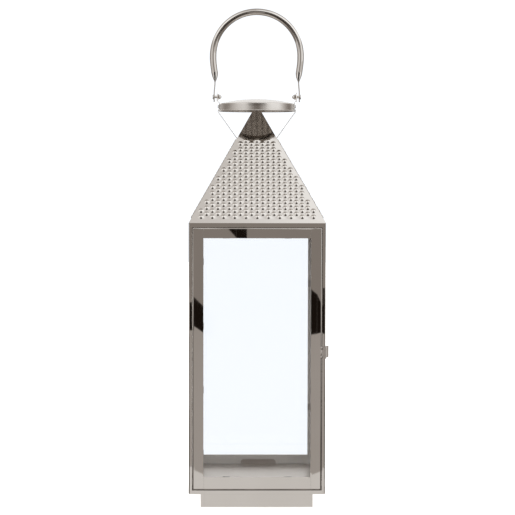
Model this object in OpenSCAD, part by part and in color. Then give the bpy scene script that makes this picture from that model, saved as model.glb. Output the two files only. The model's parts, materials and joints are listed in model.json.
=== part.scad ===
// Square candle lantern in polished metal: glazed body with an inset door, embossed
// pyramid roof, round rain cap on a strap, and a tube bail that folds to either side.
// Millimetres, +Z up, origin at the middle of the plinth's underside. The door faces -Y,
// turns on two hidden pins at its -X edge and is held by a folding hasp at its +X edge.

/* [Body] */
// Width and depth of the body
body_w = 200; // [190:1:230]
// Height of the body from its lower edge to the foot of the roof
body_h = 397.5; // [360:0.5:450]
// Thickness of the folded sheet
sheet = 1; // [0.8:0.1:1.2]
// Outside radius of a fold
bend_r = 1.6; // [1.3:0.1:2]
// Width of the posts on the glazed sides
post_w = 18; // [16:1:24]
// Height of the lower rail on the glazed sides
lower_rail_h = 25.5; // [22:0.5:34]
// Height of the upper rail on the glazed sides
upper_rail_h = 22; // [20:0.5:30]
// Width of the inward flanges of sill, header and rails
flange_w = 11; // [9:0.5:13]
// Height of the floor above the body's lower edge
floor_rise = 10.5; // [9:0.5:14]

/* [Plinth] */
// Width and depth of the recessed plinth
plinth_w = 165; // [140:1:172]
// Visible height of the plinth
plinth_h = 22.5; // [15:0.5:40]

/* [Front frame and door] */
// Width of the front lip beside the door
lip_side = 5; // [4:0.5:6]
// Height of the front lip under the door
lip_bottom = 5.5; // [5:0.5:8]
// Height of the front lip over the door
lip_top = 6.5; // [6:0.5:9]
// Gap all round the door
door_gap = 0.6; // [0.5:0.1:1]
// Depth of the door
door_d = 8; // [7:0.5:9]
// Width of the door's stiles
stile_w = 16; // [14:0.5:20]
// Height of the door's lower rail
door_lower_h = 19; // [16:0.5:26]
// Height of the door's upper rail
door_upper_h = 15; // [13:0.5:20]
// Diameter of the hinge pins
hinge_pin_d = 2.5; // [2:0.1:2.6]
// Distance of the hinge pins from the door's edge
pin_inset = 3.4; // [3.2:0.1:3.8]
// Distance of the hinge pins behind the door's face
pin_depth = 3; // [2.8:0.1:3.2]

/* [Glass] */
// Thickness of the panes
glass_t = 3; // [2:0.5:3]
// Overlap of a pane behind its frame
glass_lap = 6; // [4:0.5:6]
// Width of the tab that rises from the floor in front of each fixed pane
floor_tab_w = 55; // [30:1:70]
// Sideways offset of the rear floor tab
rear_tab_offset = 4.5; // [0:0.5:6]

/* [Hasp] */
// Height of the hasp's middle above the body's lower edge
hasp_z = 208.4; // [150:0.1:250]
// Height of the hasp plate
hasp_h = 17.3; // [14:0.1:24]
// Diameter of the hasp's knuckles
knuckle_d = 2.8; // [2.6:0.1:3.4]

/* [Roof] */
// Rise of the embossed roof
roof_rise = 123.7; // [100:0.1:140]
// Width across the flats where the embossing ends
seam_w = 59.2; // [50:0.1:70]
// Distance between neighbouring columns of bosses
boss_column = 8.2; // [7.8:0.1:10]
// Distance between bosses within a column
boss_row = 9.82; // [9.6:0.01:12]
// Diameter of a boss
boss_d = 7.4; // [6:0.1:7.6]
// Height of a boss
boss_h = 1.7; // [1:0.1:2.2]

/* [Rain cap] */
// Diameter of the cap's rim
cap_d = 112; // [100:1:114]
// Height of the rim's lower edge above the roof's seam
cap_lift = 40.4; // [36:0.1:50]
// Height of the rim
rim_h = 12; // [8:0.5:14]
// Radius of the rounded edge between the rim and the domed top
cap_edge_r = 1.2; // [1.2:0.1:3]
// Rise of the domed top above the rim
dome_h = 6.8; // [6:0.1:14]
// Width of the strap
strap_w = 14; // [10:1:16]
// Thickness of the strap
strap_t = 1.1; // [1:0.1:1.3]

/* [Handle] */
// Outside width of the bail
bail_w = 141.3; // [139:0.1:150]
// Height of the bail above its pivots
bail_h = 132.4; // [120:0.1:150]
// Diameter of the bail tube
tube_d = 10; // [8:0.5:11]
// Wall of the bail tube
tube_wall = 1; // [0.8:0.1:1.5]
// Diameter of the pivot screws
screw_d = 3.9; // [2.9:0.1:4.2]

/* [Hidden] */
half = body_w / 2;
inner = half - sheet;
body_z = plinth_h;
roof_z = body_z + body_h;
floor_z = body_z + floor_rise;
base_z = body_z + sheet;
weld_gap = 0.1;

door_half = half - lip_side - door_gap;
door_z0 = body_z + lip_bottom + door_gap;
door_z1 = roof_z - lip_top - door_gap;
door_back = -half + door_d;
stop_y = door_back + door_gap;
pin_r = hinge_pin_d / 2;
pin_x = -door_half + pin_inset;
pin_y = -half + pin_depth;
running_gap = 0.05;

glass_out = inner - weld_gap;
glass_in = glass_out - glass_t;
glass_half = half - post_w + glass_lap;
glass_z0 = floor_z + 1;
glass_z1 = roof_z - upper_rail_h + 10;
tab_t = 0.8;
tab_w = 10;

seam_half = seam_w / 2;
seam_z = roof_z + roof_rise;
slope_angle = atan2(roof_rise, half - seam_half);
slope_len = norm([half - seam_half, roof_rise]);
apex_z = seam_z + seam_half * tan(slope_angle);
vent_half = 4.4;

cap_z = seam_z + cap_lift;
rim_r = cap_d / 2;
pivot_z = cap_z + 21.8;
ear_r = strap_w / 2;
ear_x = rim_r + 4.2;
bail_ear_t = 1.8;
bail_ear_x = ear_x + 2.9;
bail_ear_r = 7.5;
screw_r = screw_d / 2;
rim_rivet_z = cap_z + 7.4;
rim_rivet_r = 1.2;

knuckle_r = knuckle_d / 2;
hasp_x = door_half - 0.2;
hasp_y = -half - knuckle_r;
hasp_mid = body_z + hasp_z;
hasp_t = 0.8;
hasp_pin_r = 0.6;
bead_y = -half + 7;

round_fn = 48;
steel = "silver";
bright = "gainsboro";
dark_steel = "slategray";
glazing = [0.8, 0.9, 0.95, 0.35];

// ---- Folded strips -------------------------------------------------------

function unit(v) = v / norm(v);
function left_of(d) = [-d[1], d[0]];
function heading(path, i) = unit(path[i + 1] - path[i]);
// Corner i of the path moved to its left by t, mitred between the two legs
function beside(path, i, t) =
    let (last = len(path) - 1)
    let (a = left_of(heading(path, max(i - 1, 0))))
    let (b = left_of(heading(path, min(i, last - 1))))
    let (m = unit(a + b))
    path[i] + m * t / (m * a);
// Outline of a strip that follows the path and is t thick on its left side
function strip(path, t) =
    concat(path, [for (i = [len(path) - 1:-1:0]) beside(path, i, t)]);

// An outline drawn in the YZ plane, extruded along X from x0 to x1
module along_x(x0, x1) {
    translate([x0, 0, 0]) rotate([90, 0, 90]) linear_extrude(x1 - x0) children();
}

// An outline drawn in the XZ plane, extruded along Y from y0 to y1
module along_y(y0, y1) {
    translate([0, y1, 0]) rotate([90, 0, 0]) linear_extrude(y1 - y0) children();
}

// Cylinder along X from x0 to x1
module rod_x(x0, x1, r) {
    translate([x0, 0, 0]) rotate([0, 90, 0]) cylinder(h = x1 - x0, r = r, $fn = round_fn);
}

// Quarter of a square frame whose front side is drawn in the YZ plane
module mitred_side(reach) {
    intersection() {
        along_x(-reach, reach) children();
        linear_extrude(1000) polygon([[0, 0], [-reach, -reach], [reach, -reach]]);
    }
}

// Two-leg folded profile with its outside corner at the origin, legs along +X and +Y
module angle_profile(leg_x, leg_y) {
    translate([bend_r, 0]) square([leg_x - bend_r, sheet]);
    translate([0, bend_r]) square([sheet, leg_y - bend_r]);
    translate([bend_r, bend_r]) intersection() {
        translate([-bend_r, -bend_r]) square(bend_r);
        difference() {
            circle(bend_r, $fn = round_fn);
            circle(bend_r - sheet, $fn = round_fn);
        }
    }
}

// ---- Plinth and floor ----------------------------------------------------

plinth_half = plinth_w / 2;
plinth_hem = 8;
plinth_flange = 10;
plinth_path = [
    [-plinth_half + plinth_hem, 0],
    [-plinth_half, 0],
    [-plinth_half, base_z],
    [-plinth_half + plinth_flange, base_z]
];

plinth_rivet_r = 1.6;

// Children at each rivet between plinth and base plate, z = 0 under the plinth's flange
module at_plinth_rivets() {
    for (a = [0:90:270], s = [-50, 50]) {
        rotate(a) translate([s, -plinth_half + 5.5, base_z - sheet]) children();
    }
}

// Straight hole for a rivet, through every sheet near z = 0
module rivet_hole(r) {
    translate([0, 0, -2]) cylinder(h = 6, r = r, $fn = round_fn);
}

module plinth() {
    color(steel) difference() {
        for (a = [0:90:270]) {
            rotate(a) mitred_side(plinth_half + 1) polygon(strip(plinth_path, -sheet));
        }
        at_plinth_rivets() rivet_hole(plinth_rivet_r);
    }
}

// A set rivet with its lower head at z = 0
module rivet(grip, r) {
    translate([0, 0, -0.8 * r]) cylinder(h = 0.8 * r, r1 = 1.2 * r, r2 = 1.9 * r, $fn = round_fn);
    cylinder(h = grip, r = r, $fn = round_fn);
    translate([0, 0, grip]) cylinder(h = 0.5 * r, r1 = 1.7 * r, r2 = 1.4 * r, $fn = round_fn);
}

module plinth_rivets() {
    color(dark_steel) at_plinth_rivets() rivet(2 * sheet, plinth_rivet_r);
}

module base_plate() {
    reach = inner - (bend_r - sheet);
    color(steel) difference() {
        translate([-reach, -reach, base_z]) cube([2 * reach, 2 * reach, sheet]);
        at_plinth_rivets() rivet_hole(plinth_rivet_r);
    }
}

// Upright tab with clipped corners, standing on the floor behind a pane
module floor_tab() {
    tab_h = 8.2;
    clip = 3;
    w = floor_tab_w / 2;
    along_y(-glass_in + weld_gap, -glass_in + weld_gap + tab_t)
        polygon([[-w, floor_z - sheet], [w, floor_z - sheet], [w, floor_z + tab_h - clip],
            [w - clip, floor_z + tab_h], [-w + clip, floor_z + tab_h], [-w, floor_z + tab_h - clip]]);
}

// Outline of the floor pan, moved in by e, stepped back where the door's hinge edge swings
function pan_outline(e) =
    let (reach = inner - 2 * weld_gap - e)
    let (step_x = pin_x + 9 + e)
    let (front = stop_y + e)
    [[-reach, front + 3], [step_x, front + 3], [step_x, front], [reach, front],
        [reach, reach], [-reach, reach]];

module floor_pan() {
    skirt_z = base_z + sheet;
    color(bright) {
        difference() {
            translate([0, 0, skirt_z]) linear_extrude(floor_z - skirt_z) polygon(pan_outline(0));
            translate([0, 0, skirt_z - 1])
                linear_extrude(floor_z - skirt_z) polygon(pan_outline(sheet));
        }
        rotate(90) floor_tab();
        rotate(-90) floor_tab();
        rotate(180) translate([-rear_tab_offset, 0, 0]) floor_tab();
    }
}

// ---- Posts and rails of the body -----------------------------------------

roof_rivet_r = 1.2;

// Children at the front side's three rivets between body and roof
module at_roof_rivets() {
    for (s = [-60, 0, 60]) {
        translate([s, -half + 7, roof_z - sheet]) children();
    }
}

// Left front post: narrow lip with mitred ends on the front, full leg on the side
module front_post() {
    difference() {
        translate([-half, -half, body_z])
            linear_extrude(body_h) angle_profile(lip_side, post_w);
        along_y(-half - 1, -inner + 0.01) {
            polygon([[-half, body_z - 1], [-half, body_z], [-half + lip_side, body_z + lip_bottom],
                [-half + lip_side + 1, body_z + lip_bottom], [-half + lip_side + 1, body_z - 1]]);
            polygon([[-half, roof_z + 1], [-half, roof_z], [-half + lip_side, roof_z - lip_top],
                [-half + lip_side + 1, roof_z - lip_top], [-half + lip_side + 1, roof_z + 1]]);
        }
    }
}

module front_post_left() {
    color(steel) front_post();
}

module front_post_right() {
    color(steel) difference() {
        mirror([1, 0, 0]) front_post();
        translate([0, bead_y, hasp_mid]) rod_x(half - 2, half + 1, 1.2);
    }
}

module rear_post_left() {
    color(steel) translate([-half, half, body_z]) mirror([0, 1, 0])
        linear_extrude(body_h) angle_profile(post_w, post_w);
}

module rear_post_right() {
    color(steel) mirror([1, 0, 0]) rear_post_left();
}

// Lip of the front frame with mitred ends; lip_h is measured up from z = 0
module front_lip(lip_h) {
    along_y(-half, -inner)
        polygon([[-half, 0], [half, 0], [half - lip_side, lip_h], [-half + lip_side, lip_h]]);
    translate([-inner + weld_gap, -inner, 0])
        cube([2 * (inner - weld_gap), flange_w - sheet, sheet]);
}

module front_sill() {
    color(steel) translate([0, 0, body_z]) front_lip(lip_bottom);
}

module front_header() {
    color(steel) difference() {
        translate([0, 0, roof_z]) mirror([0, 0, 1]) front_lip(lip_top);
        at_roof_rivets() rivet_hole(roof_rivet_r);
    }
}

// Folded rail on the front side, between the posts, with its flange at z = 0
module side_rail(rail_h) {
    rail_half = half - post_w;
    translate([-rail_half, -half, 0]) rotate([90, 0, 90])
        linear_extrude(2 * rail_half) angle_profile(flange_w, rail_h);
}

module lower_rail(a) {
    color(steel) rotate(a) translate([0, 0, body_z]) side_rail(lower_rail_h);
}

module upper_rail(a) {
    color(steel) rotate(a) difference() {
        translate([0, 0, roof_z]) mirror([0, 0, 1]) side_rail(upper_rail_h);
        at_roof_rivets() rivet_hole(roof_rivet_r);
    }
}

// Angle strip behind the door's latch edge, its short leg on the post
module door_stop_side() {
    stop_z0 = floor_z + 7;
    color(steel) translate([inner, stop_y, stop_z0]) mirror([1, 0, 0])
        linear_extrude(door_z1 - stop_z0 - 4) angle_profile(11, 3);
}

// Angle strip behind the door's upper edge, clear of the hinge corner
module door_stop_top() {
    stop_h = 14;
    color(steel) translate([0, stop_y, roof_z - sheet]) mirror([0, 0, 1])
        rotate([90, 0, 90]) translate([0, 0, -70]) linear_extrude(155) angle_profile(8, stop_h);
}

// ---- Glazing -------------------------------------------------------------

module fixed_pane(a) {
    color(glazing) rotate(a) translate([-glass_half, -glass_out, glass_z0])
        cube([2 * glass_half, glass_t, glass_z1 - glass_z0]);
}

// Bent clip: foot on the frame beyond the pane's edge, arm over the pane.
// Drawn with the frame's inner face at y = 0 and the pane's edge at z = 0.
module glass_clip(pane_back) {
    foot = 6;
    arm = 6;
    along_x(-tab_w / 2, tab_w / 2)
        polygon(strip([[0, foot + 1], [0, 0.3], [pane_back, 0.3], [pane_back, -arm]], tab_t));
}

// Clips for the pane behind the front side: two above and two beside each listed edge
module pane_clips(edges) {
    y = -inner;
    back = inner - glass_in + weld_gap;
    for (x = [-45, 45]) {
        translate([x, y, glass_z1]) glass_clip(back);
    }
    for (e = edges, z = [glass_z0 + 90, glass_z1 - 90]) {
        translate([e * glass_half, y, z]) rotate([0, e * 90, 0]) glass_clip(back);
    }
}

module glass_clips_left() {
    color(dark_steel) rotate(-90) pane_clips([-1]);
}

module glass_clips_right() {
    color(dark_steel) rotate(90) pane_clips([1]);
}

module glass_clips_rear() {
    color(dark_steel) rotate(180) pane_clips([-1, 1]);
}

// ---- Hinge brackets and catch --------------------------------------------

// Pivot block with its pin bore, standing on z0
module hinge_bracket(z0, h) {
    block_w = 10;
    difference() {
        translate([-inner + weld_gap, -inner + weld_gap, z0])
            cube([block_w, block_w - 1, h]);
        translate([pin_x, pin_y, z0 - 1])
            cylinder(h = h + 2, r = pin_r + running_gap, $fn = round_fn);
    }
}

module hinge_bracket_lower() {
    color(dark_steel) hinge_bracket(base_z + sheet, lip_bottom - 2 * sheet);
}

module hinge_bracket_upper() {
    color(dark_steel) hinge_bracket(roof_z - lip_top, lip_top - sheet);
}

// Low bead on the post that the hasp's hole closes over
module catch_bead() {
    color(bright) translate([0, bead_y, hasp_mid]) {
        rod_x(half - 1.6, half, 1.2);
        translate([half, 0, 0]) rotate([0, 90, 0])
            cylinder(h = 0.4, r1 = 1.7, r2 = 1.2, $fn = round_fn);
    }
}

// ---- Roof ----------------------------------------------------------------

roof_flange = 12;
top_flange = 8.6;
roof_path = [
    [-half + roof_flange, roof_z],
    [-half, roof_z],
    [-seam_half, seam_z],
    [-seam_half + top_flange, seam_z]
];

// Pressed boss, a low dome on the outer face of the sheet
module boss() {
    r = boss_d / 2;
    ball = (r * r + boss_h * boss_h) / (2 * boss_h);
    step = asin(r / ball) / 3;
    rotate_extrude($fn = round_fn) polygon(concat(
        [[0, -sheet / 2], [r, -sheet / 2]],
        [for (i = [3:-1:0]) [ball * sin(i * step), boss_h - ball + ball * cos(i * step)]]));
}

// Bosses in staggered columns, kept clear of the hips and of the seam
module boss_field() {
    first_row = 10.4;
    hip_margin = 1.2;
    run = (half - seam_half) / slope_len;
    columns = floor(half / boss_column);
    for (c = [-columns:columns]) {
        u = c * boss_column;
        start = first_row + (c % 2 == 0 ? 0 : boss_row / 2);
        for (v = [start:boss_row:slope_len - boss_d / 2]) {
            if (abs(u) + boss_d / 2 + hip_margin < half - v * run) {
                translate([u, v, 0]) boss();
            }
        }
    }
}

top_rivet_y = -seam_half + 5;
apex_rivet_r = 1;
strap_rivet_r = 1.2;

// Children at each rivet of the apex pyramid that goes through the front side's flange
module at_apex_rivets() {
    for (s = [-16, 16]) {
        translate([s, top_rivet_y, seam_z - sheet]) children();
    }
}

module roof_panel(a) {
    color(bright) rotate(a) difference() {
        union() {
            mitred_side(half + 1) polygon(strip(roof_path, -sheet));
            translate([0, -half, roof_z]) rotate([slope_angle, 0, 0]) boss_field();
        }
        at_roof_rivets() rivet_hole(roof_rivet_r);
        if (a % 180 == 0) {
            at_apex_rivets() rivet_hole(apex_rivet_r);
        } else {
            translate([0, top_rivet_y, seam_z - sheet]) rivet_hole(strap_rivet_r);
        }
    }
}

module roof_rivets() {
    color(dark_steel) for (a = [0:90:270]) {
        rotate(a) at_roof_rivets() rivet(2 * sheet, roof_rivet_r);
    }
}

apex_path = [
    [-seam_half + top_flange, seam_z],
    [-seam_half, seam_z],
    [-vent_half, apex_z - vent_half * tan(slope_angle)]
];

// Smooth top of the roof, open at its tip as a vent, notched at its foot for the strap
module apex_pyramid() {
    notch_h = strap_t + 0.2;
    color(bright) difference() {
        for (a = [0:90:270]) {
            rotate(a) mitred_side(seam_half + 1) polygon(strip(apex_path, -sheet));
        }
        translate([-half, -ear_r - 0.3, seam_z - 1]) cube([body_w, strap_w + 0.6, notch_h + 1]);
        for (a = [0, 180]) {
            rotate(a) at_apex_rivets() rivet_hole(apex_rivet_r);
        }
    }
}

module apex_rivets() {
    color(dark_steel) for (a = [0, 180]) {
        rotate(a) at_apex_rivets() rivet(2 * sheet, apex_rivet_r);
    }
}

// ---- Rain cap and its strap ----------------------------------------------

bead_r = 1;
bead_out = rim_r + 1.4;
strap_side = [
    [ear_x, pivot_z],
    [ear_x, cap_z + 17.4],
    [rim_r + strap_t, cap_z + 12.4],
    [rim_r + strap_t, cap_z + 4.7],
    [bead_out + 0.2 + strap_t, cap_z + 2.3],
    [bead_out + 0.2 + strap_t, cap_z - 0.6],
    [seam_half + 0.8, seam_z]
];
strap_path = concat(
    strap_side,
    [for (i = [len(strap_side) - 1:-1:0]) [-strap_side[i][0], strap_side[i][1]]]);

// Children at the two rivets between strap and roof
module at_strap_rivets() {
    for (a = [-90, 90]) {
        rotate(a) translate([0, top_rivet_y, seam_z - sheet]) children();
    }
}

module cap_strap() {
    color(steel) difference() {
        union() {
            along_y(-ear_r, ear_r) polygon(strip(strap_path, -strap_t));
            for (s = [0, 180]) {
                rotate(s) translate([0, 0, pivot_z]) rod_x(ear_x - strap_t, ear_x, ear_r);
            }
        }
        translate([0, 0, pivot_z]) rod_x(-half, half, screw_r);
        translate([0, 0, rim_rivet_z]) rod_x(-half, half, rim_rivet_r);
        at_strap_rivets() rivet_hole(strap_rivet_r);
    }
}

module strap_rivets() {
    color(dark_steel) at_strap_rivets() rivet(sheet + strap_t, strap_rivet_r);
}

// Half section of the cap: rim, rounded edge and shallow dome
function cap_section(inset) =
    let (edge = cap_edge_r - inset)
    let (top_r = rim_r - cap_edge_r)
    let (ball = (top_r * top_r + dome_h * dome_h) / (2 * dome_h))
    let (edge_z = cap_z + rim_h - cap_edge_r)
    let (span = asin(top_r / ball))
    concat(
        [[rim_r - inset, cap_z + 0.6]],
        [for (a = [0:15:60]) [top_r + edge * cos(a), edge_z + edge * sin(a)]],
        [for (i = [12:-1:0]) [
            (ball - inset) * sin(span * i / 12),
            cap_z + rim_h + dome_h - ball + (ball - inset) * cos(span * i / 12)]]);

module rain_cap() {
    outside = cap_section(0);
    inside = cap_section(sheet);
    color(bright) difference() {
        union() {
            rotate_extrude($fn = 96)
                polygon(concat(outside, [for (i = [len(inside) - 1:-1:0]) inside[i]]));
            translate([0, 0, cap_z + bead_r]) rotate_extrude($fn = 96)
                translate([bead_out - bead_r, 0]) circle(bead_r, $fn = 24);
        }
        translate([0, 0, rim_rivet_z]) rod_x(-half, half, rim_rivet_r + running_gap);
    }
}

module rim_rivets() {
    head_h = 1.6;
    color(dark_steel) for (s = [0, 180]) {
        rotate(s) translate([0, 0, rim_rivet_z]) {
            rod_x(rim_r - sheet - 0.6, rim_r + strap_t, rim_rivet_r);
            rod_x(rim_r - sheet - 1.2, rim_r - sheet - 0.3, 2);
            translate([rim_r + strap_t, 0, 0]) rotate([0, 90, 0])
                cylinder(h = head_h, r1 = 2.6, r2 = 1.8, $fn = round_fn);
        }
    }
}

// ---- Handle --------------------------------------------------------------

nut_h = 2.5;
nut_tip = 6.1;
nut_x = ear_x - strap_t;

// Low truss-head screw through the bail's ear and the strap's ear
module pivot_screws() {
    head_x = bail_ear_x + bail_ear_t + 0.1;
    slot_w = 1;
    color(bright) for (s = [0, 180]) {
        rotate(s) translate([0, 0, pivot_z]) {
            rod_x(nut_x - nut_tip + 1.5, head_x, screw_r);
            difference() {
                translate([head_x, 0, 0]) rotate([0, 90, 0])
                    cylinder(h = 1.4, r1 = 4, r2 = 2.8, $fn = round_fn);
                translate([head_x + 0.7, -5, -slot_w / 2]) cube([2, 10, slot_w]);
            }
        }
    }
}

// Domed cap nut: hexagon against the strap, dome towards the middle
module cap_nuts() {
    flats = 7;
    corner_r = flats / 2 / cos(30);
    color(bright) for (s = [0, 180]) {
        rotate(s) translate([nut_x, 0, pivot_z]) rotate([0, -90, 0]) difference() {
            union() {
                cylinder(h = nut_h, r = corner_r, $fn = 6);
                translate([0, 0, nut_h]) rotate_extrude($fn = round_fn)
                    polygon(concat([[0, 0]], [for (a = [0:15:90]) [
                        3.2 * cos(a), (nut_tip - nut_h) * sin(a)]]));
            }
            translate([0, 0, -1]) cylinder(h = nut_tip - 0.4, r = screw_r, $fn = round_fn);
        }
    }
}

arch_r = bail_w / 2 - tube_d / 2;
arch_z = pivot_z + bail_h - bail_w / 2;
leg_z = pivot_z + 34;
pinch_z = pivot_z + 23;
pinch_x = bail_ear_x - 1.9;
pinch_t = 2;
join = 0.5;
flat_w = 2 * bail_ear_r;
stem_path = [
    [pinch_x + pinch_t, pinch_z + join],
    [bail_ear_x + bail_ear_t - 0.2, pivot_z + 9],
    [bail_ear_x + bail_ear_t, pivot_z + 5],
    [bail_ear_x + bail_ear_t, pivot_z]
];

// One leg of the bail: tube, pinched stretch, flat stem and drilled ear
module bail_leg() {
    translate([arch_r, 0, leg_z]) difference() {
        cylinder(h = arch_z - leg_z, r = tube_d / 2, $fn = round_fn);
        translate([0, 0, -0.1]) cylinder(h = 100, r = tube_d / 2 - tube_wall, $fn = round_fn);
    }
    hull() {
        translate([arch_r, 0, leg_z]) cylinder(h = join, r = tube_d / 2, $fn = 32);
        translate([pinch_x, -flat_w / 2, pinch_z]) cube([pinch_t, flat_w, join]);
    }
    difference() {
        union() {
            along_y(-flat_w / 2, flat_w / 2) polygon(strip(stem_path, -bail_ear_t));
            translate([0, 0, pivot_z]) rod_x(bail_ear_x, bail_ear_x + bail_ear_t, bail_ear_r);
        }
        translate([0, 0, pivot_z]) rod_x(0, half, screw_r + running_gap);
    }
}

module bail() {
    color(steel) {
        translate([0, 0, arch_z]) rotate([90, 0, 0]) rotate_extrude(angle = 180, $fn = 96)
            translate([arch_r, 0]) difference() {
                circle(tube_d / 2, $fn = round_fn);
                circle(tube_d / 2 - tube_wall, $fn = round_fn);
            }
        bail_leg();
        mirror([1, 0, 0]) bail_leg();
    }
}

// ---- Door ----------------------------------------------------------------

pane_x = door_half - stile_w + 5.6;
pane_z0 = door_z0 + door_lower_h - 5.6;
pane_z1 = door_z1 - door_upper_h + 5.6;
end_plate = 1.5;

// Outline of a stile seen from the side: its ends are folded back like its long edge
module stile_side() {
    length = door_z1 - door_z0;
    translate([bend_r, 0]) square([door_d - bend_r, length]);
    translate([0, bend_r]) square([bend_r, length - 2 * bend_r]);
    for (z = [bend_r, length - bend_r]) {
        translate([bend_r, z]) circle(bend_r, $fn = round_fn);
    }
}

// Stile at the door's +X edge: face and outer return folded from one strip, closed ends
module stile() {
    intersection() {
        union() {
            translate([door_half, -half, door_z0]) mirror([1, 0, 0])
                linear_extrude(door_z1 - door_z0) angle_profile(stile_w, door_d);
            for (z = [door_z0, door_z1 - end_plate]) {
                translate([door_half - stile_w + 1, -inner, z])
                    cube([stile_w - 1 - sheet, door_d - sheet, end_plate]);
            }
        }
        along_x(0, half) translate([-half, door_z0]) stile_side();
    }
}

module door_stile_hinge() {
    color(steel) difference() {
        mirror([1, 0, 0]) stile();
        translate([pin_x, pin_y, 0]) cylinder(h = 2 * roof_z, r = pin_r, $fn = round_fn);
    }
}

module door_stile_latch() {
    color(steel) stile();
}

// Door rail between the stiles, fold at z = 0
module door_rail(rail_h) {
    w = door_half - stile_w;
    translate([-w, -half, 0]) rotate([90, 0, 90])
        linear_extrude(2 * w) angle_profile(door_d, rail_h);
}

module door_upper_rail() {
    color(steel) translate([0, 0, door_z1]) mirror([0, 0, 1]) door_rail(door_upper_h);
}

module door_lower_rail() {
    color(steel) translate([0, 0, door_z0]) door_rail(door_lower_h);
}

module door_glass() {
    color(glazing) translate([-pane_x, -inner + weld_gap, pane_z0])
        cube([2 * pane_x, glass_t, pane_z1 - pane_z0]);
}

module door_glass_clips() {
    back = glass_t + 2 * weld_gap;
    side_z = [for (i = [0:3]) pane_z0 + 40 + i * (pane_z1 - pane_z0 - 80) / 3];
    color(dark_steel) {
        for (s = [-1, 1], z = side_z) {
            translate([s * pane_x, -inner, z]) rotate([0, s * 90, 0]) glass_clip(back);
        }
        for (x = [-45, 45]) {
            translate([x, -inner, pane_z1]) glass_clip(back);
            translate([x, -inner, pane_z0]) mirror([0, 0, 1]) glass_clip(back);
        }
    }
}

// Plain hinge pin from z0 to z1 with chamfered ends
module hinge_pin(z0, z1) {
    tip = 0.5;
    color(bright) translate([pin_x, pin_y, 0]) {
        translate([0, 0, z0]) cylinder(h = tip, r1 = pin_r - tip, r2 = pin_r, $fn = round_fn);
        translate([0, 0, z0 + tip]) cylinder(h = z1 - z0 - 2 * tip, r = pin_r, $fn = round_fn);
        translate([0, 0, z1 - tip]) cylinder(h = tip, r1 = pin_r, r2 = pin_r - tip, $fn = round_fn);
    }
}

module hinge_pin_lower() {
    hinge_pin(base_z + sheet + 0.3, door_z0 + end_plate + 5);
}

module hinge_pin_upper() {
    hinge_pin(door_z1 - end_plate - 5, roof_z - sheet - 0.3);
}

// ---- Hasp ----------------------------------------------------------------

end_knuckle = 4;
hasp_z0 = hasp_mid - hasp_h / 2;
hasp_z1 = hasp_mid + hasp_h / 2;

// Pair of knuckles brazed to the door's latch stile
module hasp_knuckles() {
    color(steel) for (z = [hasp_z0, hasp_z1 - end_knuckle]) {
        translate([hasp_x, hasp_y, z]) difference() {
            cylinder(h = end_knuckle, r = knuckle_r, $fn = round_fn);
            translate([0, 0, -1]) cylinder(h = end_knuckle + 2, r = hasp_pin_r, $fn = round_fn);
        }
    }
}

module hasp_pin() {
    color(bright) translate([hasp_x, hasp_y, hasp_z0])
        cylinder(h = hasp_h, r = hasp_pin_r, $fn = round_fn);
}

// Folding hasp: knuckle, plate over the lip, leg along the side, flared thumb tab
hasp_out = half + 0.5 + hasp_t - hasp_x;
hasp_path = [
    [0, -knuckle_r],
    [hasp_out - 1, -knuckle_r],
    [hasp_out, -knuckle_r + 1],
    [hasp_out, 15.5],
    [hasp_out + 4.2, 20.3]
];

module hasp() {
    middle = hasp_h - 2 * end_knuckle - 0.2;
    color(bright) translate([hasp_x, hasp_y, hasp_z0]) difference() {
        union() {
            linear_extrude(hasp_h) polygon(strip(hasp_path, hasp_t));
            translate([0, 0, end_knuckle + 0.1]) cylinder(h = middle, r = knuckle_r, $fn = round_fn);
        }
        for (z = [-1, hasp_h - end_knuckle - 0.1]) {
            translate([-knuckle_r - 1, -knuckle_r - 1, z])
                cube([2 * knuckle_r + 1.2, 2 * knuckle_r + 2, end_knuckle + 1.1]);
        }
        translate([0, 0, -1])
            cylinder(h = hasp_h + 2, r = hasp_pin_r + running_gap, $fn = round_fn);
        translate([0, bead_y - hasp_y, hasp_h / 2]) rod_x(hasp_out - 3, hasp_out + 3, 2.1);
    }
}

// ---- The lantern ---------------------------------------------------------

plinth();
plinth_rivets();
base_plate();
floor_pan();
front_post_left();
front_post_right();
rear_post_left();
rear_post_right();
front_sill();
front_header();
lower_rail(-90);  // left_lower_rail
upper_rail(-90);  // left_upper_rail
lower_rail(90);  // right_lower_rail
upper_rail(90);  // right_upper_rail
lower_rail(180);  // rear_lower_rail
upper_rail(180);  // rear_upper_rail
door_stop_side();
door_stop_top();
fixed_pane(-90);  // glass_left
fixed_pane(90);  // glass_right
fixed_pane(180);  // glass_rear
glass_clips_left();
glass_clips_right();
glass_clips_rear();
hinge_bracket_lower();
hinge_bracket_upper();
catch_bead();
roof_panel(0);  // roof_panel_front
roof_panel(90);  // roof_panel_right
roof_panel(180);  // roof_panel_rear
roof_panel(-90);  // roof_panel_left
roof_rivets();
apex_pyramid();
apex_rivets();
cap_strap();
strap_rivets();
rain_cap();
rim_rivets();
pivot_screws();
cap_nuts();
door_stile_hinge();
door_stile_latch();
door_upper_rail();
door_lower_rail();
door_glass();
door_glass_clips();
hinge_pin_lower();
hinge_pin_upper();
hasp_knuckles();
hasp_pin();
hasp();
bail();
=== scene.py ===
"""Looks of the candle lantern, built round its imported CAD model.

Metres, +Z up, origin in the middle under the plinth; the door faces -Y and the hasp is at +X.
"""
import json
import math

import bmesh
import bpy
from mathutils import Matrix, Quaternion, Vector
from mathutils.geometry import delaunay_2d_cdt


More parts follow.
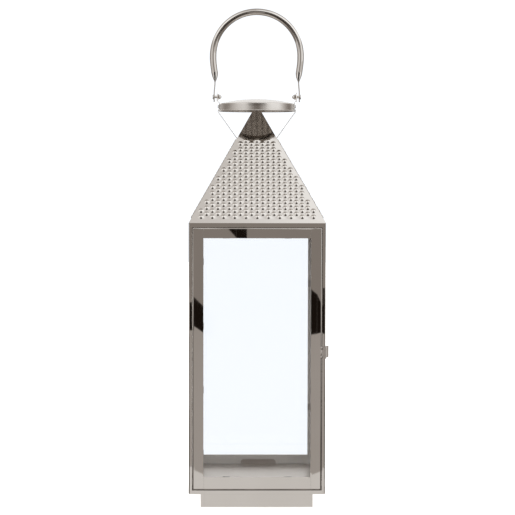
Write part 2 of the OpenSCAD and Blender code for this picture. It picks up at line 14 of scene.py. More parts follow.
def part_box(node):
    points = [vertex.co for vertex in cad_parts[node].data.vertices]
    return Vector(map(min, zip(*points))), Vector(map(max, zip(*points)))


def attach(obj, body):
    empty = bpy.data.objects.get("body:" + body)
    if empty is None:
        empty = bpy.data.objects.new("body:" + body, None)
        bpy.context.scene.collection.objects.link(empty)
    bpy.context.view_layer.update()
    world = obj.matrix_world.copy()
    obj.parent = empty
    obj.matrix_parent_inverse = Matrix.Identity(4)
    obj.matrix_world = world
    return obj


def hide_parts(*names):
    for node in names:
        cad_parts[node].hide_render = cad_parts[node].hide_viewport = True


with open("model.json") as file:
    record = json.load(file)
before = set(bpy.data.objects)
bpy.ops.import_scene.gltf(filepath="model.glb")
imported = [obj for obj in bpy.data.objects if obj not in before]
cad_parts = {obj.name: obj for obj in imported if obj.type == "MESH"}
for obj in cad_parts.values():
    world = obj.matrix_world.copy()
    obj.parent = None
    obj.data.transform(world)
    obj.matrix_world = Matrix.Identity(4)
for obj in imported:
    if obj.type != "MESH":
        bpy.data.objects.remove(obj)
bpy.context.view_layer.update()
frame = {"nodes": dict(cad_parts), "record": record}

MM = 0.001
# points closer than this are one point
JOIN = 0.002 * MM
scene = bpy.context.scene


# ---- Shader trees -----------------------------------------------------------

class Tree:
    """Adds nodes to a node tree. An input is a number, a colour or another node's output."""

    def __init__(self, owner):
        owner.use_nodes = True
        self.tree = owner.node_tree
        self.tree.nodes.clear()

    def add(self, kind, inputs=(), **settings):
        node = self.tree.nodes.new(kind)
        for name, value in settings.items():
            setattr(node, name, value)
        for socket, value in dict(inputs).items():
            if isinstance(value, bpy.types.NodeSocket):
                self.tree.links.new(value, node.inputs[socket])
            else:
                node.inputs[socket].default_value = value
        return node

    def math(self, operation, a, b=0.0):
        return self.add("ShaderNodeMath", {0: a, 1: b}, operation=operation).outputs[0]

    def ramp(self, value, low, high, to_low=0.0, to_high=1.0, shape="SMOOTHSTEP"):
        inputs = {"Value": value, "From Min": low, "From Max": high, "To Min": to_low, "To Max": to_high}
        return self.add("ShaderNodeMapRange", inputs, interpolation_type=shape).outputs["Result"]

    def mix(self, factor, a, b):
        inputs = {"Factor": factor, 6: a, 7: b}
        return self.add("ShaderNodeMix", inputs, data_type="RGBA").outputs[2]

    def noise(self, vector, scale, detail=2.0, roughness=0.5):
        inputs = {"Vector": vector, "Scale": scale, "Detail": detail, "Roughness": roughness}
        return self.add("ShaderNodeTexNoise", inputs).outputs["Fac"]

    def stretched(self, vector, scale):
        return self.add("ShaderNodeMapping", {"Vector": vector, "Scale": scale}).outputs["Vector"]

    def split(self, vector):
        return self.add("ShaderNodeSeparateXYZ", {"Vector": vector}).outputs

    def facing(self, axis):
        """How squarely the surface faces along axis 0, 1 or 2, from 0 to 1."""
        normal = self.add("ShaderNodeNewGeometry").outputs["True Normal"]
        return self.math("ABSOLUTE", self.split(normal)[axis])

    def drifting(self, place, tint, toned):
        """Colour that changes slowly over the plate between two tints."""
        drift = self.ramp(self.noise(place, 7.0, 3.0), 0.35, 0.7)
        return self.mix(drift, rgba(*tint), rgba(*toned))

    def smudges(self, place):
        return self.noise(place, 38.0, 4.0, 0.62)

    def between(self, value, low, high, soft):
        """1 between low and high, falling to 0 over soft on both sides."""
        rise = self.ramp(self.math("SUBTRACT", value, low), -soft, soft)
        fall = self.ramp(self.math("SUBTRACT", high, value), -soft, soft)
        return self.math("MULTIPLY", rise, fall)

    def stops(self, value, low, high, tones):
        """Grey tones at stops of value, which runs from low to high."""
        node = self.add("ShaderNodeValToRGB", {"Fac": self.ramp(value, low, high, shape="LINEAR")})
        points = node.color_ramp.elements
        while len(points) < len(tones):
            points.new(0.5)
        for i, (place, tone) in enumerate(tones):
            points[i].position = (place - low) / (high - low)
            points[i].color = warm(tone)
        return node.outputs["Color"]


def rgba(red, green, blue):
    return (red, green, blue, 1.0)


def warm(tone):
    """The studio's greys get warmer as they get darker."""
    return rgba(tone, tone ** 1.085, tone ** 1.152)


# ---- Materials --------------------------------------------------------------

NICKEL = (0.80, 0.77, 0.735)
AGED_NICKEL = (0.77, 0.74, 0.70)
SATIN_TINT = (0.84, 0.80, 0.76)
TONED_SATIN = (0.82, 0.775, 0.73)
# roughness of clear and of hazy plate, and the noise values at which they are reached
POLISH = (0.006, 0.016)
SATIN_ROUGHNESS = (0.30, 0.34)
HAZE_SPAN = (0.36, 0.7)
# painted reflection: dark tint of the stripes that stand in for the boss columns mirrored on the apex
REFLECTED_COLUMN_TINT = (0.20, 0.18, 0.165)


def polished_metal(name, tint, toned, roughness=POLISH, wave=0.03 * MM, wave_scale=9.0,
                   grain=(260.0, 260.0, 30.0), grain_depth=0.0, painted_streaks=0.0, upright_shade=None, metallic=1.0):
    """Mirror-polished plate: faint tone drift, polishing haze along the grain, slight waves.

    painted_streaks is the spacing, in metres, of soft darker stripes that run up the sides, painted
    reflections of the roof's boss columns, and upright_shade is a darker tint painted as shade on vertical
    faces.
    """
    material = bpy.data.materials.new(name)
    t = Tree(material)
    place = t.add("ShaderNodeTexCoord").outputs["Object"]
    haze = t.noise(t.stretched(place, grain), 1.0, 3.0, 0.6)
    colour = t.drifting(place, tint, toned)
    # painted shade: vertical faces get a darker tint of their own
    if upright_shade:
        colour = t.mix(t.ramp(t.facing(2), 0.3, 0.7), rgba(*upright_shade), colour)
    # painted reflection: dark stripes, one per boss column of the roof, run up the faces
    if painted_streaks:
        x, y, _ = t.split(place)
        faces_x = t.math("GREATER_THAN", t.facing(0), t.facing(1))
        along = t.ramp(faces_x, 0.0, 1.0, x, y, "LINEAR")
        swing = t.math("COSINE", t.math("MULTIPLY", along, 2 * math.pi / painted_streaks))
        colour = t.mix(t.ramp(swing, -0.2, 1.0, 0.0, 0.45), colour, rgba(*REFLECTED_COLUMN_TINT))
    dull = t.math("ADD", t.math("MULTIPLY", haze, 0.45), t.math("MULTIPLY", t.smudges(place), 0.55))
    rough = t.ramp(dull, *HAZE_SPAN, *roughness)
    normal = t.add("ShaderNodeBump", {
        "Height": t.noise(place, wave_scale, 1.0), "Distance": wave, "Strength": 1.0})
    if grain_depth:
        normal = t.add("ShaderNodeBump", {
            "Height": haze, "Distance": grain_depth, "Strength": 1.0, "Normal": normal.outputs["Normal"]})
    shader = t.add("ShaderNodeBsdfPrincipled", {
        "Base Color": colour, "Metallic": metallic, "Roughness": rough, "Normal": normal.outputs["Normal"]})
    t.add("ShaderNodeOutputMaterial", {"Surface": shader.outputs["BSDF"]})
    return material


def clear_glass():
    material = bpy.data.materials.new("clear_glass")
    t = Tree(material)
    place = t.add("ShaderNodeTexCoord").outputs["Object"]
    tone = t.ramp(t.noise(place, 5.0, 2.0), 0.3, 0.7)
    colour = t.mix(tone, rgba(0.990, 0.996, 1.0), rgba(0.993, 0.998, 1.0))
    ripple = t.add("ShaderNodeBump", {"Height": t.noise(place, 4.0, 1.0), "Distance": 0.02 * MM})
    shader = t.add("ShaderNodeBsdfPrincipled", {
        "Base Color": colour, "Roughness": 0.0, "IOR": 1.46, "Transmission Weight": 1.0,
        "Normal": ripple.outputs["Normal"]})
    t.add("ShaderNodeOutputMaterial", {"Surface": shader.outputs["BSDF"]})
    return material


def satin_inside():
    """Rear frame sheet: polished on its outer faces, plain satin towards the chamber."""
    material = bpy.data.materials.new("satin_inside")
    t = Tree(material)
    place = t.add("ShaderNodeTexCoord").outputs["Object"]
    polished = t.add("ShaderNodeBsdfPrincipled", {
        "Base Color": t.drifting(place, NICKEL, AGED_NICKEL), "Metallic": 1.0,
        "Roughness": t.ramp(t.smudges(place), *HAZE_SPAN, *POLISH)})
    satin = t.add("ShaderNodeBsdfPrincipled", {
        "Base Color": t.drifting(place, SATIN_TINT, TONED_SATIN), "Metallic": 0.6,
        "Roughness": t.ramp(t.smudges(place), *HAZE_SPAN, *SATIN_ROUGHNESS)})
    x, y, _ = t.split(place)
    reach = t.math("MAXIMUM", t.math("ABSOLUTE", x), t.math("ABSOLUTE", y))
    outer = t.math("GREATER_THAN", reach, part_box("rear_post_right")[1].x - 0.5 * MM)
    shader = t.add("ShaderNodeMixShader", {0: outer, 1: satin.outputs["BSDF"], 2: polished.outputs["BSDF"]})
    t.add("ShaderNodeOutputMaterial", {"Surface": shader.outputs[0]})
    return material


MATERIALS = {
    "polished_frame": polished_metal("polished_frame", NICKEL, AGED_NICKEL),
    "embossed_roof": polished_metal(
        "embossed_roof", (0.82, 0.79, 0.755), (0.79, 0.76, 0.72), roughness=(0.02, 0.05),
        wave=0.03 * MM, wave_scale=30.0),
    "polished_cap": polished_metal(
        "polished_cap", NICKEL, AGED_NICKEL, roughness=(0.16, 0.24),
        wave=0.02 * MM, wave_scale=30.0, grain=(40.0, 40.0, 2400.0)),
    "polished_tube": polished_metal(
        "polished_tube", NICKEL, (0.76, 0.73, 0.69), roughness=(0.02, 0.06),
        wave=0.01 * MM, wave_scale=40.0),
    "bright_hardware": polished_metal(
        "bright_hardware", (0.78, 0.75, 0.715), (0.74, 0.71, 0.68), roughness=(0.04, 0.10),
        wave=0.01 * MM, wave_scale=80.0),
    "plain_steel": polished_metal(
        "plain_steel", (0.62, 0.60, 0.58), (0.54, 0.52, 0.50), roughness=(0.22, 0.42),
        wave=0.03 * MM, wave_scale=60.0, grain=(90.0, 90.0, 900.0), grain_depth=0.02 * MM),
    "clear_glass": clear_glass(),
}
# painted shade: the floor pan's vertical faces, its rear tab among them, get a darker tint
SATIN = polished_metal(
    "satin_floor", SATIN_TINT, TONED_SATIN, roughness=(0.36, 0.40),
    wave=0.01 * MM, wave_scale=20.0, upright_shade=(0.56, 0.51, 0.47))
# apex: a darker tint than the roof, painted shade for the cap's shaded underside that it mirrors, with
# painted reflected stripes
SMOOTH_TOP = polished_metal(
    "smooth_roof_top", (0.72, 0.685, 0.65), (0.69, 0.655, 0.62), roughness=(0.05, 0.08),
    painted_streaks=8.2 * MM)
SATIN_INSIDE = satin_inside()
# painted highlight: the strap is tinted near white, lighter than the other nickel, so that it shows as pale
# lines
STRAP_WITH_SHEEN = polished_metal(
    "strap_painted_sheen", (0.97, 0.95, 0.92), (0.95, 0.93, 0.90), roughness=(0.50, 0.60),
    wave=0.01 * MM, wave_scale=60.0, metallic=0.8)
# nodes that differ in finish from the rest of their slot; for the floor pan, the apex and the strap this
# also brings painted shade, painted reflections and a painted highlight
OWN_FINISH = {
    "floor_pan": SATIN, "apex_pyramid": SMOOTH_TOP, "cap_strap": STRAP_WITH_SHEEN,
    "rear_lower_rail": SATIN_INSIDE, "rear_upper_rail": SATIN_INSIDE,
    "rear_post_left": SATIN_INSIDE, "rear_post_right": SATIN_INSIDE}

for part in frame["record"]["subparts"]:
    finish = OWN_FINISH.get(part["node"], MATERIALS[part["material_slot"]])
    for socket in frame["nodes"][part["node"]].material_slots:
        socket.material = finish


# ---- Softened edges of the carried-over sheet metal -------------------------

EDGE_RADIUS = {
    "polished_frame": 0.3 * MM, "clear_glass": 0.25 * MM, "bright_hardware": 0.2 * MM,
    "polished_cap": 0.35 * MM}
# the two folds at the gap under the door
TIGHT_FOLDS = {"front_sill": 0.1 * MM, "door_lower_rail": 0.1 * MM}


def soften(node, radius):
    """Joins the imported facets and rounds the edges between them."""
    weld = node.modifiers.new("joined", "WELD")
    weld.merge_threshold = JOIN
    flat = node.modifiers.new("whole_faces", "DECIMATE")
    flat.decimate_type = "DISSOLVE"
    flat.angle_limit = math.radians(1)
    bevel = node.modifiers.new("edge", "BEVEL")
    bevel.width = radius
    bevel.segments = 2
    bevel.limit_method = "ANGLE"
    bevel.angle_limit = math.radians(35)
    bevel.harden_normals = True


for part in frame["record"]["subparts"]:
    if part["material_slot"] in EDGE_RADIUS:
        radius = TIGHT_FOLDS.get(part["node"], EDGE_RADIUS[part["material_slot"]])
        soften(frame["nodes"][part["node"]], radius)


# ---- Mesh helpers -----------------------------------------------------------

def piece(name, verts, faces, slot, body, replaced):
    """A mesh piece in metres that stands for a CAD node."""
    mesh = bpy.data.meshes.new(name)
    mesh.from_pydata([tuple(v) for v in verts], [], faces)
    form = bmesh.new()
    form.from_mesh(mesh)
    bmesh.ops.remove_doubles(form, verts=form.verts, dist=JOIN)
    bmesh.ops.recalc_face_normals(form, faces=form.faces)
    form.to_mesh(mesh)
    form.free()
    for face in mesh.polygons:
        face.use_smooth = True
    mesh.set_sharp_from_angle(angle=math.radians(50))
    mesh.materials.append(MATERIALS[slot])
    made = bpy.data.objects.new(name, mesh)
    scene.collection.objects.link(made)
    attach(made, body)
    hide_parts(replaced)
    return made


def bridge(count, rings):
    """Faces between neighbouring rings of count points each."""
    faces = []
    for k in range(rings - 1):
        a, b = k * count, (k + 1) * count
        for i in range(count):
            j = (i + 1) % count
            faces.append((a + i, a + j, b + j, b + i))
    return faces


def arc(centre, radius, start, end, steps):
    """Points (r, z) on an arc, in degrees."""
    turns = [math.radians(start + (end - start) * i / steps) for i in range(steps + 1)]
    return [(centre[0] + radius * math.cos(a), centre[1] + radius * math.sin(a)) for a in turns]


# ---- Rain cap ---------------------------------------------------------------

def rain_cap():
    """Spun sheet: rolled bead, straight rim, small rounded edge, shallow dome."""
    low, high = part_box("rain_cap")
    sheet = 1 * MM
    bead = 1 * MM
    overhang = 1.4 * MM
    rim_height = 12 * MM
    edge = 1.2 * MM
    inner_edge = 0.6 * MM
    # the bead curls from the rim's inner face round below to its outer face
    curl_start, curl_end = 203.6, 473.6
    rim = high.x - overhang
    rise = high.z - low.z - rim_height
    edge_at = (rim - edge, low.z + rim_height - edge)
    ball = (edge_at[0] ** 2 + rise ** 2) / (2 * rise)
    dome_at = (0.0, high.z - ball)
    span = math.degrees(math.asin(edge_at[0] / ball))
    outside = (
        [(rim - sheet, low.z + inner_edge)]
        + arc((high.x - bead, low.z + bead), bead, curl_start, curl_end, 18)
        + arc(edge_at, edge, 0, 90 - span, 6)
        + arc(dome_at, ball, 90 - span, 90, 28)[1:-1])
    inside = (
        arc(dome_at, ball - sheet, 90, 90 - span, 28)[1:]
        + arc(edge_at, edge - sheet, 90 - span, 0, 3)[1:])
    around = 192
    section = outside + inside
    verts = [
        (r * math.cos(2 * math.pi * i / around), r * math.sin(2 * math.pi * i / around), z)
        for r, z in section for i in range(around)]
    faces = bridge(around, len(outside))
    first_inside = len(outside) * around
    faces += [tuple(first_inside + i for i in face) for face in bridge(around, len(inside))]
    last = (len(section) - 1) * around
    faces += [(i, last + i, last + (i + 1) % around, (i + 1) % around) for i in range(around)]
    for ring, top in ((len(outside) - 1, high.z), (len(outside), high.z - sheet)):
        middle = len(verts)
        verts.append((0, 0, top))
        faces += [(ring * around + i, ring * around + (i + 1) % around, middle) for i in range(around)]
    piece("rain_cap_spun", verts, faces, "polished_cap", "lantern", "rain_cap")


# ---- Bail -------------------------------------------------------------------

def ease(value):
    """Soft start and end between 0 and 1."""
    return value * value * (3 - 2 * value)


def bail():
    """One bent tube whose ends are pinched flat, set outwards and drilled."""
    low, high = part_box("bail")
    tube = 5 * MM
    ear_r = high.y
    ear_half = 0.9 * MM
    bore = 2.0 * MM
    arch_r = high.x - tube
    arch_z = high.z - high.x
    pivot_z = low.z + ear_r
    ear_x = 64.0 * MM
    around, leg_steps, arch_steps = 40, 60, 96
    ear_squareness = 0.62

    def ring(centre, across, half_x, half_y, power):
        """Closed outline round centre: across is the direction of half_x, the other one is Y."""
        points = []
        for i in range(around):
            a = 2 * math.pi * i / around
            c, s = math.cos(a), math.sin(a)
            x = half_x * math.copysign(abs(c) ** power, c)
            y = half_y * math.copysign(abs(s) ** power, s)
            points.append((centre[0] + across[0] * x, y, centre[1] + across[1] * x))
        return points

    def along(z, start, length):
        """Share of a stretch that begins start mm over the pivot and is length mm high."""
        return min(1.0, max(0.0, (z - pivot_z - start * MM) / (length * MM)))

    def leg_ring(side, z):
        """Outline of a leg at height z, from round tube through the pinch to the flat ear."""
        taper = math.sin(along(z, 22.5, 15) * math.pi / 2)
        flat = 1 - ease(along(z, 20, 18))
        # the pinch draws the leg inwards, and the ear is set outwards again
        inward = 2.9 * MM * (1 - ease(along(z, 27, 31)))
        outward = 1.25 * MM * (1 - ease(along(z, 4, 19)))
        below = max(0.0, pivot_z - z)
        half_y = tube + (ear_r - tube) * flat
        if below > 0:
            half_y = math.sqrt(max(1e-12, ear_r ** 2 - below ** 2))
        half_x = ear_half + (tube - ear_half) * taper
        centre = arch_r - inward + outward
        return ring((side * centre, z), (side, 0), half_x, half_y, 1 - ear_squareness * flat)

    heights = [pivot_z - ear_r * math.sin(math.radians(a)) for a in range(90, 0, -6)]
    heights += [pivot_z + (arch_z - pivot_z) * i / leg_steps for i in range(leg_steps)]
    rings = [leg_ring(-1, z) for z in heights]
    for i in range(arch_steps + 1):
        a = math.pi * (1 - i / arch_steps)
        out = (math.cos(a), math.sin(a))
        rings.append(ring((arch_r * out[0], arch_z + arch_r * out[1]), (out[0], out[1]), tube, tube, 1.0))
    # the right leg's outlines run the other way round to follow on from the arch
    rings += [leg_ring(1, z) for z in reversed(heights)]
    verts = [v for points in rings for v in points]
    made = piece("bail_tube", verts, bridge(around, len(rings)), "polished_tube", "bail", "bail")
    for x in (ear_x, -ear_x):
        drill(made, (x, 0, pivot_z), bore)


def drill(made, centre, radius):
    """Cuts a round hole along X through a piece."""
    length = 8 * MM
    cutter_mesh = bpy.data.meshes.new("cutter")
    form = bmesh.new()
    bmesh.ops.create_cone(
        form, cap_ends=True, segments=40, radius1=radius, radius2=radius, depth=length)
    bmesh.ops.rotate(form, verts=form.verts, cent=(0, 0, 0), matrix=Matrix.Rotation(math.pi / 2, 3, "Y"))
    bmesh.ops.translate(form, verts=form.verts, vec=centre)
    form.to_mesh(cutter_mesh)
    form.free()
    cutter = bpy.data.objects.new("cutter", cutter_mesh)
    scene.collection.objects.link(cutter)
    cut = made.modifiers.new("hole", "BOOLEAN")
    cut.object = cutter
    cut.solver = "EXACT"
    drilled = bpy.data.meshes.new_from_object(made.evaluated_get(bpy.context.evaluated_depsgraph_get()))
    made.modifiers.clear()
    made.data = drilled
    bpy.data.objects.remove(cutter)


# ---- Embossed roof ----------------------------------------------------------

def roof_panels():
    """Four pressed sheets, each folded inwards at its foot and at the seam."""
    low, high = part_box("roof_panel_front")
    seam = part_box("apex_pyramid")[1].x
    half = -low.y
    foot_z, seam_z = low.z, high.z
    sheet = 1 * MM
    foot_flange, seam_flange = 12 * MM, 8.6 * MM
    boss_r, boss_h = 3.7 * MM, 1.7 * MM
    foot_r = 0.5 * MM
    fillet, fillet_h = 0.2 * MM, 0.16 * MM
    around, fillet_steps, dome_steps = 28, 4, 8
    rise = seam_z - foot_z
    slope = math.hypot(half - seam, rise)
    run = (half - seam) / slope
    up = Vector((0, run, rise / slope))
    out = Vector((0, -rise / slope, run))
    ball = (boss_r ** 2 + boss_h ** 2) / (2 * boss_h)
    reach = boss_r + foot_r

    def boss_profile():
        """Points (radius, height) from the flat sheet over a small fillet to the boss's top."""
        points = []
        for i in range(fillet_steps):
            share = i / fillet_steps
            radius = reach - (reach - boss_r + fillet) * share
            points.append((radius, fillet_h * share * share))
        start = math.asin((boss_r - fillet) / ball)
        for i in range(dome_steps):
            a = start * (1 - i / dome_steps)
            points.append((ball * math.sin(a), boss_h - ball + ball * math.cos(a)))
        return points

    def centres():
        """Middles (u, v) of the bosses: staggered columns that stop short of the hips and the seam."""
        column, row, first, hip_margin = 8.2 * MM, 9.82 * MM, 10.4 * MM, 1.2 * MM
        columns = int(half / column)
        for c in range(-columns, columns + 1):
            v = first if c % 2 == 0 else first + row / 2
            while v <= slope - boss_r:
                if abs(c * column) + boss_r + hip_margin < half - v * run:
                    yield c * column, v
                v += row

    def on_sheet(u, v, h=0.0):
        """Place u along the foot, v up the slope and h out of the sheet."""
        return Vector((u, -half, foot_z)) + up * v + out * h

    profile = boss_profile()
    outline = [(-half, 0.0), (half, 0.0), (seam, slope), (-seam, slope)]
    flat_points = [Vector(p) for p in outline]
    flat_edges = [(i, (i + 1) % 4) for i in range(4)]
    skin = []
    skin_faces = []
    for cu, cv in centres():
        start = len(flat_points)
        base = len(skin)
        turns = [2 * math.pi * i / around for i in range(around)]
        for radius, height in profile:
            for a in turns:
                skin.append(on_sheet(cu + radius * math.cos(a), cv + radius * math.sin(a), height))
        flat_points += [Vector((cu + reach * math.cos(a), cv + reach * math.sin(a))) for a in turns]
        flat_edges += [(start + i, start + (i + 1) % around) for i in range(around)]
        skin_faces += [tuple(base + i for i in face) for face in bridge(around, len(profile))]
        ring = base + (len(profile) - 1) * around
        skin.append(on_sheet(cu, cv, boss_h))
        skin_faces += [(ring + i, ring + (i + 1) % around, len(skin) - 1) for i in range(around)]
    # flat sheet round the bosses, without the triangles that fill their outlines
    points, _, triangles, _, _, _ = delaunay_2d_cdt(flat_points, flat_edges, [], 0, 1e-7)
    boss_at = [Vector(centre) for centre in centres()]
    start = len(skin)
    skin += [on_sheet(p.x, p.y) for p in points]
    for face in triangles:
        in_boss = any(
            all((points[i] - centre).length < reach * 1.01 for i in face) for centre in boss_at)
        if not in_boss:
            skin_faces.append(tuple(start + i for i in face))

    def flange(edge_half, z, width):
        """Sheet folded inwards from an edge of the slope."""
        base = len(skin)
        inner_half = edge_half - width
        skin.extend(Vector(v) for v in (
            (-edge_half, -edge_half, z), (edge_half, -edge_half, z),
            (inner_half, -inner_half, z), (-inner_half, -inner_half, z)))
        skin_faces.append((base, base + 1, base + 2, base + 3))

    flange(half, foot_z, foot_flange)
    flange(seam, seam_z, seam_flange)
    verts, faces = thickened(skin, skin_faces, sheet)
    for turn, name in enumerate(("front", "right", "rear", "left")):
        spin = Matrix.Rotation(turn * math.pi / 2, 3, "Z")
        piece("roof_sheet_" + name, [spin @ v for v in verts], faces,
              "embossed_roof", "lantern", "roof_panel_" + name)


def thickened(skin, skin_faces, sheet):
    """Closes a folded skin of the front side into a sheet, mitred at the hips."""
    form = bmesh.new()
    corners = [form.verts.new(v) for v in skin]
    for face in skin_faces:
        form.faces.new([corners[i] for i in face])
    bmesh.ops.remove_doubles(form, verts=form.verts, dist=JOIN)
    bmesh.ops.recalc_face_normals(form, faces=form.faces)
    if sum(face.normal.y * face.calc_area() for face in form.faces) > 0:
        bmesh.ops.reverse_faces(form, faces=form.faces)
    form.verts.index_update()
    form.normal_update()
    outer = [v.co.copy() for v in form.verts]
    count = len(outer)
    same_side = 0.9
    inner = []
    for v in form.verts:
        sides = []
        for face in v.link_faces:
            if all(face.normal.dot(n) < same_side for n in sides):
                sides.append(face.normal.copy())
        moved = v.co - v.normal * sheet
        if len(sides) == 2:
            moved = v.co - (sides[0] + sides[1]) * sheet / (1 + sides[0].dot(sides[1]))
        limit = -moved.y
        moved.x = min(limit, max(-limit, moved.x))
        inner.append(moved)
    faces = [tuple(v.index for v in f.verts) for f in form.faces]
    faces += [tuple(count + v.index for v in reversed(f.verts)) for f in form.faces]
    for edge in form.edges:
        if len(edge.link_faces) == 1:
            a, b = (v.index for v in edge.verts)
            faces.append((a, b, count + b, count + a))
    form.free()
    return outer + inner, faces


rain_cap()
bail()
roof_panels()


# ---- Studio -----------------------------------------------------------------

# straight view past the lantern: white with a cool tint that shows only through the glass
BACKDROP = (1.055, 1.09, 1.14, 1.0)
# what matt surfaces see in every direction
SKY = (2.2, 2.2, 2.2, 1.0)
# (azimuth from the camera's side in degrees, tone): what stands round the lantern at eye height
ROUND_ABOUT = [
    (-180, 0.50), (-155, 0.50), (-136, 0.41), (-115, 0.27), (-95, 0.32), (-78, 0.54), (-62, 0.70),
    (-42, 0.80), (-24, 0.62), (-11, 0.34), (-6, 0.22), (6, 0.22), (12, 0.36), (24, 0.62), (35, 0.82),
    (48, 0.95), (72, 0.95), (86, 0.64), (98, 0.42), (113, 0.24), (127, 0.27), (142, 0.50), (160, 0.50),
    (180, 0.50)]
# (height in degrees, tone): table and floor below the lens
BELOW = [
    (-90, 0.68), (-80, 0.68), (-72, 0.36), (-46, 0.33), (-38, 0.22), (-18, 0.20), (-14, 0.45),
    (-12, 0.40), (-5.4, 0.365), (-4.9, 0.25), (0, 0.25)]
BLACK = 0.01
# softness of the shapes' sides and of their upper and lower edges, in degrees
SIDE_BLUR, EDGE_BLUR = 0.008, 0.02
# shapes in front of the lantern: first and last azimuth, height of the upper edge at both of them,
# height of the lower edge at both, tone
SHAPES = [
    (-1.275, -0.60, (-4.48, -5.13), (-5.44, -5.90), BLACK),
    (-1.60, -1.275, (-4.68, -4.68), (-5.58, -5.58), BLACK),
    (2.40, 2.70, (-4.20, -4.42), (-5.72, -5.67), BLACK),
    (2.70, 2.885, (-4.42, -4.80), (-5.67, -5.62), BLACK),
    (2.885, 3.30, (-4.23, -4.23), (-5.67, -5.67), BLACK),
    (-0.19, 0.10, (-2.29, -2.29), (-2.29, -2.62), BLACK),
    (0.10, 0.43, (-2.29, -2.29), (-2.62, -2.72), BLACK),
    (-27.0, -2.2, (-1.5, -1.5), (-32.0, -32.0), BLACK),
    (3.8, 29.0, (-1.5, -1.5), (-32.0, -32.0), BLACK),
    (-27.0, 29.0, (27.0, 27.0), (7.5, 7.5), 0.02),
    (-2.0, -1.275, (-9.93, -9.93), (-12.5, -12.5), 0.68),
    (-1.275, -0.92, (-10.02, -10.16), (-12.5, -12.5), 0.68),
    (-0.92, 2.53, (-10.10, -10.10), (-12.5, -12.5), 0.68),
    (2.53, 2.885, (-10.16, -10.02), (-12.5, -12.5), 0.68),
    (2.885, 3.70, (-9.93, -9.93), (-12.5, -12.5), 0.68)]


def studio_world():
    """A light tent over the lantern, with grey walls and a dark opening round the camera."""
    world = bpy.data.worlds.new("studio")
    scene.world = world
    t = Tree(world)
    x, y, z = t.split(t.add("ShaderNodeTexCoord").outputs["Generated"])
    degrees = math.degrees(1)
    azimuth = t.math("MULTIPLY", t.math("ARCTAN2", x, t.math("MULTIPLY", y, -1.0)), degrees)
    height = t.math("MULTIPLY", t.math("ARCSINE", z), degrees)
    aside = t.math("ABSOLUTE", azimuth)

    # tent roof: brighter towards +X, white boxes at both sides, grey straight overhead and behind
    roof = t.mix(t.ramp(azimuth, -3.0, 7.0), warm(0.68), warm(0.97))
    boxes = t.math("MULTIPLY", t.between(aside, 20.0, 78.0, 5.0), t.between(height, 14.0, 52.0, 4.0))
    colour = t.mix(boxes, roof, rgba(1.15, 1.14, 1.13))
    colour = t.mix(t.ramp(height, 64.0, 78.0), colour, warm(0.34))
    behind = t.math("MULTIPLY", t.ramp(aside, 98.0, 112.0), t.between(height, 30.0, 66.0, 4.0))
    colour = t.mix(behind, colour, warm(0.42))
    # eye height; at the rear the tent roof comes further down
    level = t.stops(azimuth, -180.0, 180.0, ROUND_ABOUT)
    raised = t.math("ADD", height, t.ramp(aside, 138.0, 150.0, 0.0, 12.0))
    colour = t.mix(t.ramp(raised, 15.0, 27.0), level, colour)
    # light strip behind, which the cap's dome mirrors
    back_light = t.math("MULTIPLY", t.ramp(aside, 132.0, 150.0), t.between(height, 6.0, 29.0, 3.0))
    colour = t.mix(back_light, colour, rgba(0.94, 0.93, 0.92))
    # below the lens: table and floor, lighter at the sides
    colour = t.mix(t.ramp(height, -1.4, -0.9), t.stops(height, -90.0, 0.0, BELOW), colour)
    low_sides = t.math("MULTIPLY", t.between(aside, 30.0, 98.0, 5.0), t.between(height, -15.0, 0.0, 1.0))
    colour = t.mix(low_sides, colour, warm(0.62))
    for first, last, top, bottom, tone in SHAPES:
        upper = t.ramp(azimuth, first, last, top[0], top[1], "LINEAR")
        lower = t.ramp(azimuth, first, last, bottom[0], bottom[1], "LINEAR")
        across = t.between(azimuth, first, last, SIDE_BLUR)
        shape = t.math("MULTIPLY", across, t.between(height, lower, upper, EDGE_BLUR))
        colour = t.mix(shape, colour, warm(tone))

    path = t.add("ShaderNodeLightPath").outputs
    mirrored = t.ramp(path["Glossy Depth"], 0.4, 0.6, shape="LINEAR")
    scattered = t.ramp(path["Diffuse Depth"], 0.4, 0.6, shape="LINEAR")
    # straight views see the backdrop, mirrors see the tent, and matt surfaces see the sky
    colour = t.mix(mirrored, BACKDROP, colour)
    colour = t.mix(scattered, colour, SKY)
    background = t.add("ShaderNodeBackground", {"Color": colour})
    t.add("ShaderNodeOutputWorld", {"Surface": background.outputs[0]})


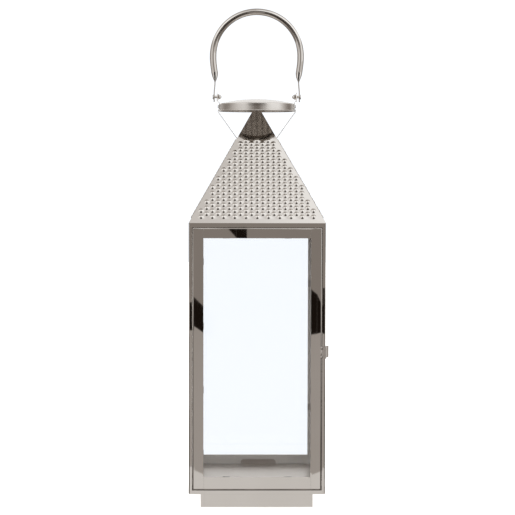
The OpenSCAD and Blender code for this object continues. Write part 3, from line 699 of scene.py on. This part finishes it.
def studio_floor():
    """Plain pale floor round the lantern."""
    mesh = bpy.data.meshes.new("floor")
    reach = 6.0
    corners = [(-reach, -reach, 0), (reach, -reach, 0), (reach, reach, 0), (-reach, reach, 0)]
    mesh.from_pydata(corners, [], [(0, 1, 2, 3)])
    floor = bpy.data.objects.new("floor", mesh)
    scene.collection.objects.link(floor)
    material = bpy.data.materials.new("pale_floor")
    t = Tree(material)
    place = t.add("ShaderNodeTexCoord").outputs["Object"]
    tone = t.noise(place, 3.0, 2.0)
    matt = t.add("ShaderNodeBsdfDiffuse", {
        "Color": t.mix(tone, rgba(0.90, 0.90, 0.90), rgba(0.93, 0.93, 0.93))})
    path = t.add("ShaderNodeLightPath").outputs
    mirrored = t.ramp(path["Glossy Depth"], 0.4, 0.6, shape="LINEAR")
    # through a pane the floor is as white as the backdrop, and dark in a mirror behind the pane
    glow = t.add("ShaderNodeEmission", {"Color": t.mix(mirrored, BACKDROP, warm(0.3))})
    through = t.ramp(path["Transmission Depth"], 0.4, 0.6, shape="LINEAR")
    shader = t.add("ShaderNodeMixShader", {0: through, 1: matt.outputs[0], 2: glow.outputs[0]})
    t.add("ShaderNodeOutputMaterial", {"Surface": shader.outputs[0]})
    mesh.materials.append(material)
    floor.visible_glossy = False


def camera():
    """The photographer's viewpoint: a little left of the middle, level with the upper roof."""
    aim = Vector((0.0016, 0.0, 0.3643))
    distance, azimuth, elevation = 2.7046, math.radians(-0.777), math.radians(3.245)
    roll = math.radians(0.12)
    back = Vector((math.sin(azimuth) * math.cos(elevation), -math.cos(azimuth) * math.cos(elevation),
                   math.sin(elevation)))
    data = bpy.data.cameras.new("camera")
    data.sensor_width = 36.0
    data.lens = 125.13
    data.clip_end = 100.0
    eye = bpy.data.objects.new("camera", data)
    eye.location = aim + back * distance
    level = (-back).to_track_quat("-Z", "Y")
    eye.rotation_euler = (level @ Quaternion((0, 0, 1), roll)).to_euler()
    scene.collection.objects.link(eye)
    scene.camera = eye


studio_world()
studio_floor()
camera()
scene.view_settings.view_transform = "Standard"
